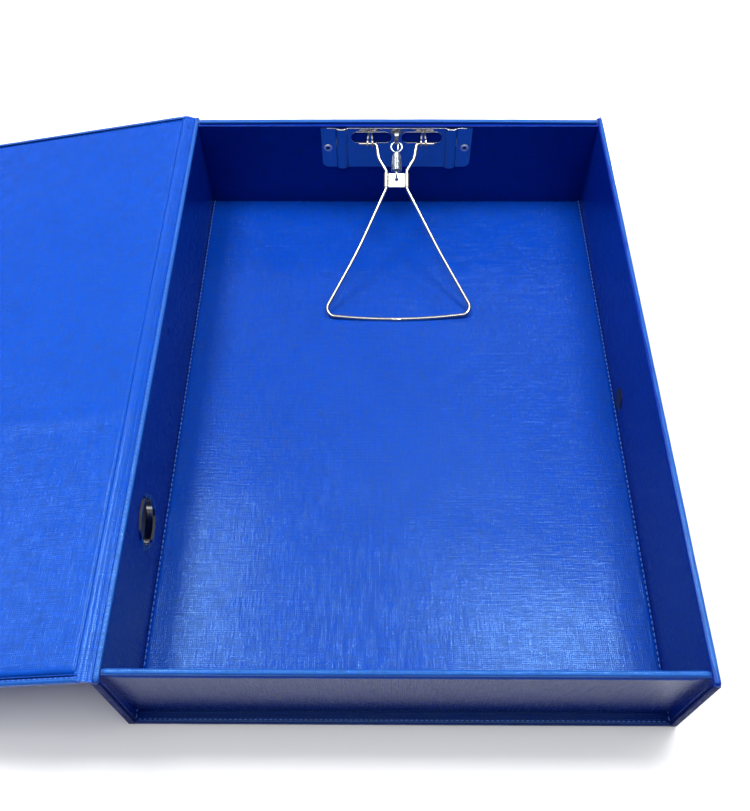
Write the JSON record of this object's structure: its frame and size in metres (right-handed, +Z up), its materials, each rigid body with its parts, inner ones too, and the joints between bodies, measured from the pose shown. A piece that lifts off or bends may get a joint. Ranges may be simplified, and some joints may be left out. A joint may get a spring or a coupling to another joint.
{
  "type": "archival box",
  "caption": "Document box with a sprung wire paper clip on its back wall, a fold-over lid on a soft hinge, a closing flap with a press stud and a finger ring.",
  "frame": {"origin": "centre of the tray's underside", "axes": "+X to the right, from the hinge side to the press-stud side; +Y to the back wall that carries the clip; +Z up"},
  "size_m": [0.5633, 0.3466, 0.066],
  "materials": {
    "pvc_cover": "linen-embossed vinyl sheet, semi-gloss",
    "pvc_lining": "linen-embossed vinyl sheet, semi-gloss",
    "pvc_hinge": "linen-embossed vinyl sheet, creased",
    "greyboard": "uncoated",
    "nickel_ring": "polished nickel plate",
    "nickel_plate": "bright nickel plate",
    "nickel_rivet": "nickel plate",
    "nickel_wire": "bright nickel plate",
    "spring_steel": "zinc-plated spring wire",
    "black_cap": "black lacquer, satin",
    "snap_metal": "nickel plate, satin"
  },
  "bodies": {
    "tray": {"base_cover": "pvc_cover", "base_board": "greyboard", "base_lining": "pvc_lining", "left_wall_cover": "pvc_cover", "left_wall_board": "greyboard", "left_wall_lining": "pvc_lining", "right_wall_cover": "pvc_cover", "right_wall_board": "greyboard", "right_wall_lining": "pvc_lining", "front_wall_board": "greyboard", "front_wall_cover": "pvc_cover", "back_wall_board": "greyboard", "back_wall_cover": "pvc_cover", "finger_ring_outer": "nickel_ring", "finger_ring_inner": "nickel_ring", "stud_cap": "black_cap", "snap_stud": "snap_metal", "clip_base_plate": "nickel_plate", "clip_rivets": "nickel_rivet", "clip_washers": "nickel_rivet"},
    "lid_hinge": {"lid_hinge_strip": "pvc_hinge"},
    "lid": {"lid_cover": "pvc_cover", "lid_board": "greyboard", "lid_lining": "pvc_lining"},
    "flap_hinge": {"flap_hinge_strip": "pvc_hinge"},
    "flap": {"flap_cover": "pvc_cover", "flap_board": "greyboard", "flap_lining": "pvc_lining", "snap_cap": "black_cap", "snap_socket": "snap_metal"},
    "bail": {"bail_wire": "nickel_wire", "crimp_plate": "nickel_plate"},
    "spring": {"clip_spring": "spring_steel"}
  },
  "joints": [
    {"name": "lid_fold_lower", "type": "hinge", "parent": "tray", "child": "lid_hinge", "pos_m": [-0.1248, 0, 0.064], "axis": [0, -1, 0], "range_deg": [-100.1, 0]},
    {"name": "lid_fold_upper", "type": "hinge", "parent": "lid_hinge", "child": "lid", "pos_m": [-0.12815, 0, 0.0634], "axis": [0, -1, 0], "range_deg": [-90, 0]},
    {"name": "flap_fold_upper", "type": "hinge", "parent": "lid", "child": "flap_hinge", "pos_m": [-0.37467, 0, 0.01949], "axis": [0, -1, 0], "range_deg": [-45, 0]},
    {"name": "flap_fold_lower", "type": "hinge", "parent": "flap_hinge", "child": "flap", "pos_m": [-0.37829, 0, 0.01885], "axis": [0, -1, 0], "range_deg": [-52.92, 0]},
    {"name": "bail_hinge", "type": "hinge", "parent": "tray", "child": "bail", "pos_m": [-0.0008, 0.1589, 0.0562], "axis": [-1, 0, 0], "range_deg": [0, 123.55]},
    {"name": "spring_swivel", "type": "hinge", "parent": "tray", "child": "spring", "pos_m": [-0.0008, 0.1614, 0.0558], "axis": [-1, 0, 0], "range_deg": [-1, 118], "deforming": ["clip_spring"]}
  ],
  "couplings": [
    {"joint": "spring_swivel", "follows": "bail_hinge", "ratio": 0.91901}
  ]
}
